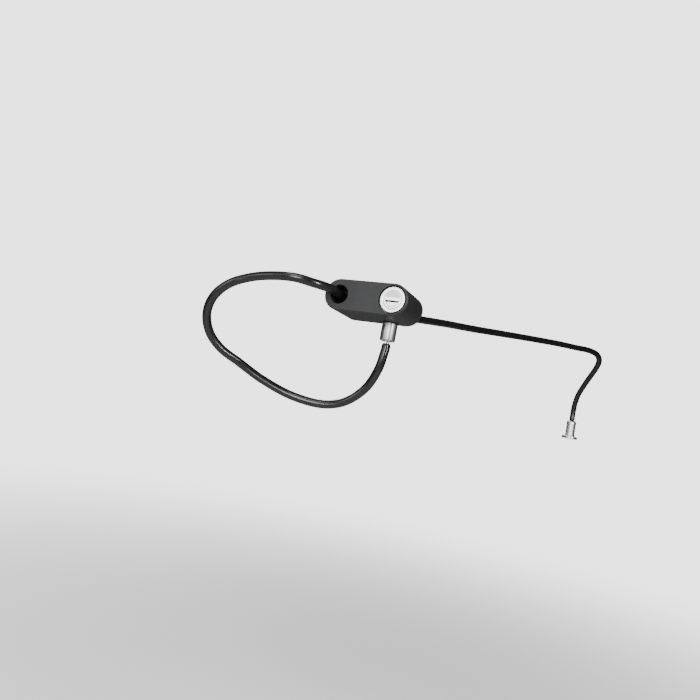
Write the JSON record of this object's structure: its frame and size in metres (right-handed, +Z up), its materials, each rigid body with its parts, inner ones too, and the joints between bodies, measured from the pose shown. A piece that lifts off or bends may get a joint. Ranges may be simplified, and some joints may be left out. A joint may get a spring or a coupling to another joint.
{
  "type": "cable lock",
  "caption": "Sliding-loop cable lock for a bicycle carrier: coated steel cable through an oblong housing, its steel tip held by a key-turned bolt.",
  "frame": {"origin": "centre of the flat underside of the anchor at the cable's fixed end, where the carrier holds it", "axes": "+X along the housing from cable hole to key, +Y from its face to its back, +Z up, opposite to the side the cable's tip goes in"},
  "size_m": [0.2413, 0.4806, 0.1218],
  "materials": {
    "black_plastic": "fine moulded texture, satin",
    "black_jacket": "smooth glossy vinyl",
    "rubber": "matt",
    "nickel": "satin nickel plate",
    "satin_steel": "turned satin steel",
    "zinc": "as die-cast",
    "brass": "stamped"
  },
  "bodies": {
    "lock_body": {"front_shell": "black_plastic", "back_cover": "black_plastic", "cover_screw_1": "satin_steel", "cover_screw_2": "satin_steel", "cover_screw_3": "satin_steel", "lock_case": "zinc", "cylinder_barrel": "nickel", "barrel_seal": "rubber", "cable_loop": "black_jacket", "cable_run": "black_jacket", "anchor_sleeve": "satin_steel"},
    "key_cylinder": {"key_plug": "nickel", "plug_clip": "satin_steel", "tail_cam": "satin_steel", "wafer_1": "brass", "wafer_2": "brass", "wafer_3": "brass", "wafer_4": "brass", "wafer_5": "brass", "wafer_spring_1": "satin_steel", "wafer_spring_2": "satin_steel", "wafer_spring_3": "satin_steel", "wafer_spring_4": "satin_steel", "wafer_spring_5": "satin_steel"},
    "bolt": {"locking_bolt": "satin_steel"},
    "cable_end": {"ferrule": "satin_steel", "locking_pin": "satin_steel", "rope_neck": "satin_steel"}
  },
  "joints": [
    {"name": "key_turn", "type": "hinge", "parent": "lock_body", "child": "key_cylinder", "pos_m": [-0.09, -0.424, 0.055], "axis": [0, 1, 0], "range_deg": [0, 90]},
    {"name": "bolt_slide", "type": "slide", "parent": "lock_body", "child": "bolt", "axis": [-1, 0, 0], "range_m": [0, 0.0018]},
    {"name": "ferrule_pull", "type": "slide", "parent": "lock_body", "child": "cable_end", "axis": [0, 0, -1], "range_m": [0, 0.018], "deforming": ["cable_loop"]}
  ],
  "couplings": [
    {"joint": "key_turn", "follows": "bolt_slide", "rad_per_m": 872.66}
  ]
}
